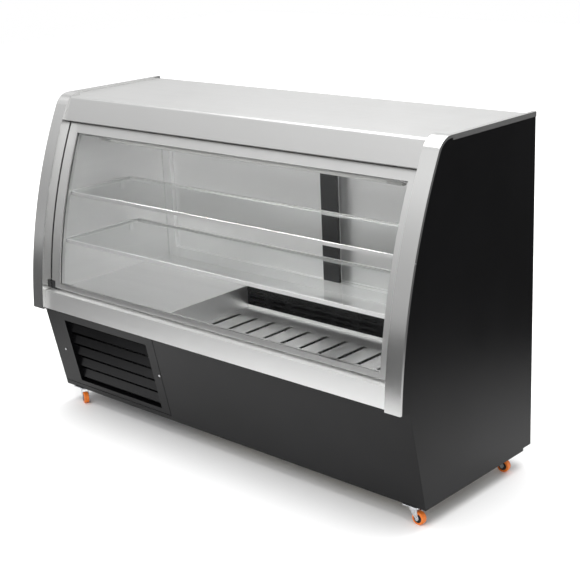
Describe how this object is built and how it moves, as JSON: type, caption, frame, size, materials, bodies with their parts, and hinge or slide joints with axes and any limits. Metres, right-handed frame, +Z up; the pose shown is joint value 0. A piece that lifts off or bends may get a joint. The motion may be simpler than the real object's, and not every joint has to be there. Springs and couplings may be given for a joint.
{
  "type": "refrigerated deli case",
  "caption": "Curved-glass refrigerated deli case on swivel casters, with a tilting front glass, glass shelves, a slotted deck, sliding rear doors and a louvred machine compartment.",
  "frame": {"origin": "on the floor, under the middle of the case's bounding box", "axes": "+X is the case's right as a customer faces it and its long side, -Y is the customer side with the curved glass, +Z is up"},
  "size_m": [2.0016, 0.804, 1.365],
  "materials": {
    "trim_stainless": "bright satin",
    "hood_stainless": "satin, brushed lengthways",
    "liner_stainless": "bright, mirror-like at a low angle",
    "shelf_stainless": "polished",
    "door_stainless": "satin",
    "dark_paint": "semi-gloss",
    "black_trim": "fine texture",
    "clear_glass": "clear",
    "dark_rubber": "matte",
    "lamp_white": "opal",
    "foam_cream": "closed cell",
    "frame_grey": "satin",
    "zinc": "zinc plated",
    "wheel_orange": "smooth",
    "fin_aluminium": "mill finish",
    "machine_black": "gloss",
    "copper": "drawn copper",
    "drain_plastic": "smooth"
  },
  "bodies": {
    "cabinet": {"front_trim_left": "trim_stainless", "front_trim_right": "trim_stainless", "top_edge_trims": "trim_stainless", "sill_fascia": "trim_stainless", "hood_fascia": "hood_stainless", "top_sheet": "hood_stainless", "liner_left": "liner_stainless", "liner_right": "liner_stainless", "machine_deck": "liner_stainless", "well_tub": "liner_stainless", "slotted_deck": "liner_stainless", "rear_ledge": "liner_stainless", "ceiling_liner": "liner_stainless", "light_header": "liner_stainless", "upper_shelf_rails": "shelf_stainless", "lower_shelf_rails": "shelf_stainless", "shelf_brackets": "shelf_stainless", "door_frame": "door_stainless", "side_panel_left": "dark_paint", "side_panel_right": "dark_paint", "kick_panel": "dark_paint", "grille_panel": "dark_paint", "rear_panel": "dark_paint", "evaporator_guard": "black_trim", "centre_post": "black_trim", "glass_hinge_blocks": "black_trim", "lamp_holders": "black_trim", "control_box": "black_trim", "cord_gland": "black_trim", "evaporator_fan_housings": "black_trim", "upper_shelf_glass": "clear_glass", "lower_shelf_glass": "clear_glass", "lamp_diffuser": "lamp_white", "foam_panels": "foam_cream", "base_frame": "frame_grey", "unit_base_plate": "frame_grey", "caster_plates": "zinc", "panel_screws": "zinc", "evaporator_coil": "fin_aluminium", "condenser_coil": "fin_aluminium", "compressor": "machine_black", "condenser_fan_motor": "machine_black", "refrigerant_lines": "copper", "drain_pipe": "drain_plastic"},
    "glass_front": {"glass_frame": "trim_stainless", "front_glass": "clear_glass", "glass_gasket": "dark_rubber"},
    "rear_door_left": {"rear_door_left": "door_stainless"},
    "rear_door_right": {"rear_door_right": "door_stainless"},
    "evaporator_fan_left": {"evaporator_fan_left": "black_trim"},
    "evaporator_fan_right": {"evaporator_fan_right": "black_trim"},
    "condenser_fan": {"condenser_fan": "fin_aluminium"},
    "caster_front_left": {"caster_fork_front_left": "zinc"},
    "wheel_front_left": {"caster_wheel_front_left": "wheel_orange"},
    "caster_front_right": {"caster_fork_front_right": "zinc"},
    "wheel_front_right": {"caster_wheel_front_right": "wheel_orange"},
    "caster_rear_left": {"caster_fork_rear_left": "zinc"},
    "wheel_rear_left": {"caster_wheel_rear_left": "wheel_orange"},
    "caster_rear_right": {"caster_fork_rear_right": "zinc"},
    "wheel_rear_right": {"caster_wheel_rear_right": "wheel_orange"}
  },
  "joints": [
    {"name": "glass_front_tilt", "type": "hinge", "parent": "cabinet", "child": "glass_front", "pos_m": [0, -0.33373, 0.577], "axis": [1, 0, 0], "range_deg": [0, 70]},
    {"name": "rear_door_left_slide", "type": "slide", "parent": "cabinet", "child": "rear_door_left", "axis": [1, 0, 0], "range_m": [0, 0.78]},
    {"name": "rear_door_right_slide", "type": "slide", "parent": "cabinet", "child": "rear_door_right", "axis": [-1, 0, 0], "range_m": [0, 0.92]},
    {"name": "evaporator_fan_left_spin", "type": "hinge", "parent": "cabinet", "child": "evaporator_fan_left", "pos_m": [0.15, 0.038, 0.3795], "axis": [0, 1, 0], "continuous": true},
    {"name": "evaporator_fan_right_spin", "type": "hinge", "parent": "cabinet", "child": "evaporator_fan_right", "pos_m": [0.65, 0.038, 0.3795], "axis": [0, 1, 0], "continuous": true},
    {"name": "condenser_fan_spin", "type": "hinge", "parent": "cabinet", "child": "condenser_fan", "pos_m": [-0.675, -0.14, 0.259], "axis": [0, 1, 0], "continuous": true},
    {"name": "caster_front_left_swivel", "type": "hinge", "parent": "cabinet", "child": "caster_front_left", "pos_m": [-0.918, -0.24, 0.06], "axis": [0, 0, 1], "continuous": true},
    {"name": "wheel_front_left_roll", "type": "hinge", "parent": "caster_front_left", "child": "wheel_front_left", "pos_m": [-0.90002, -0.24877, 0.025], "axis": [0.4384, 0.8988, 0], "continuous": true},
    {"name": "caster_front_right_swivel", "type": "hinge", "parent": "cabinet", "child": "caster_front_right", "pos_m": [0.93, -0.24, 0.06], "axis": [0, 0, 1], "continuous": true},
    {"name": "wheel_front_right_roll", "type": "hinge", "parent": "caster_front_right", "child": "wheel_front_right", "pos_m": [0.95, -0.24, 0.025], "axis": [0, 1, 0], "continuous": true},
    {"name": "caster_rear_left_swivel", "type": "hinge", "parent": "cabinet", "child": "caster_rear_left", "pos_m": [-0.93, 0.29, 0.06], "axis": [0, 0, 1], "continuous": true},
    {"name": "wheel_rear_left_roll", "type": "hinge", "parent": "caster_rear_left", "child": "wheel_rear_left", "pos_m": [-0.94532, 0.30286, 0.025], "axis": [-0.6428, -0.766, 0], "continuous": true},
    {"name": "caster_rear_right_swivel", "type": "hinge", "parent": "cabinet", "child": "caster_rear_right", "pos_m": [0.93, 0.29, 0.06], "axis": [0, 0, 1], "continuous": true},
    {"name": "wheel_rear_right_roll", "type": "hinge", "parent": "caster_rear_right", "child": "wheel_rear_right", "pos_m": [0.94995, 0.2914, 0.025], "axis": [-0.0698, 0.9976, 0], "continuous": true}
  ]
}
